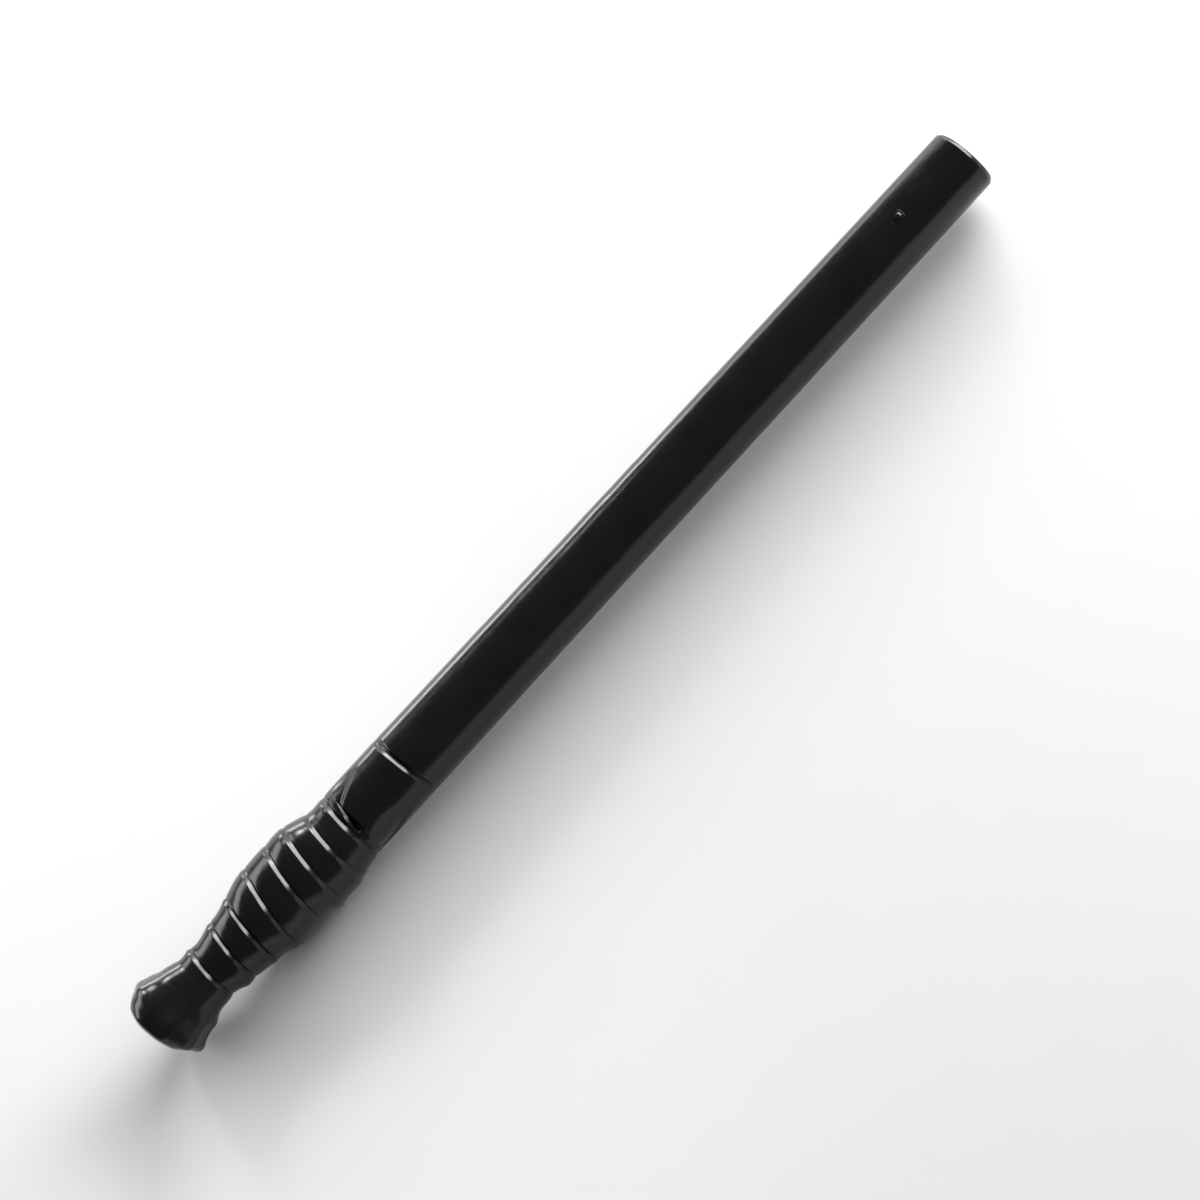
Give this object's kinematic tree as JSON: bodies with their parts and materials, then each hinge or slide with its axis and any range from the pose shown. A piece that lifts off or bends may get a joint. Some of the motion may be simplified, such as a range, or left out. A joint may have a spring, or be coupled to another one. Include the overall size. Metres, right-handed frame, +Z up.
{
  "type": "magic wand",
  "caption": "Glossy black stage wand with a blunt tapered shaft, petal collar, carved ribbed grip and flared pommel, clamped on a steel core.",
  "frame": {"origin": "on the surface the wand lies on, under the middle of its length and under its axis", "axes": "+X along the wand from the pommel to the tip, +Z up, away from the surface it lies on"},
  "size_m": [0.35, 0.029, 0.0287],
  "materials": {
    "gloss_black": "glossy moulded black, softened by handling",
    "pin_black": "glossy black enamel, worn a little on the crown",
    "zinc_steel": "zinc plated",
    "turned_steel": "turned, oiled",
    "alloy": "turned",
    "natural_nylon": "machined, waxy"
  },
  "bodies": {
    "root": {"shaft_tube": "gloss_black", "tip_cap": "gloss_black", "tip_pin": "pin_black", "petal_collar": "gloss_black", "bead_ring": "gloss_black", "grip": "gloss_black", "pommel": "gloss_black", "pommel_plug": "gloss_black", "core_rod": "zinc_steel", "shaft_plug": "alloy", "front_bush": "natural_nylon", "rear_bush": "natural_nylon", "balance_weight": "turned_steel", "rod_washer": "zinc_steel", "lock_washer": "zinc_steel", "rod_nut": "zinc_steel"}
  },
  "joints": []
}
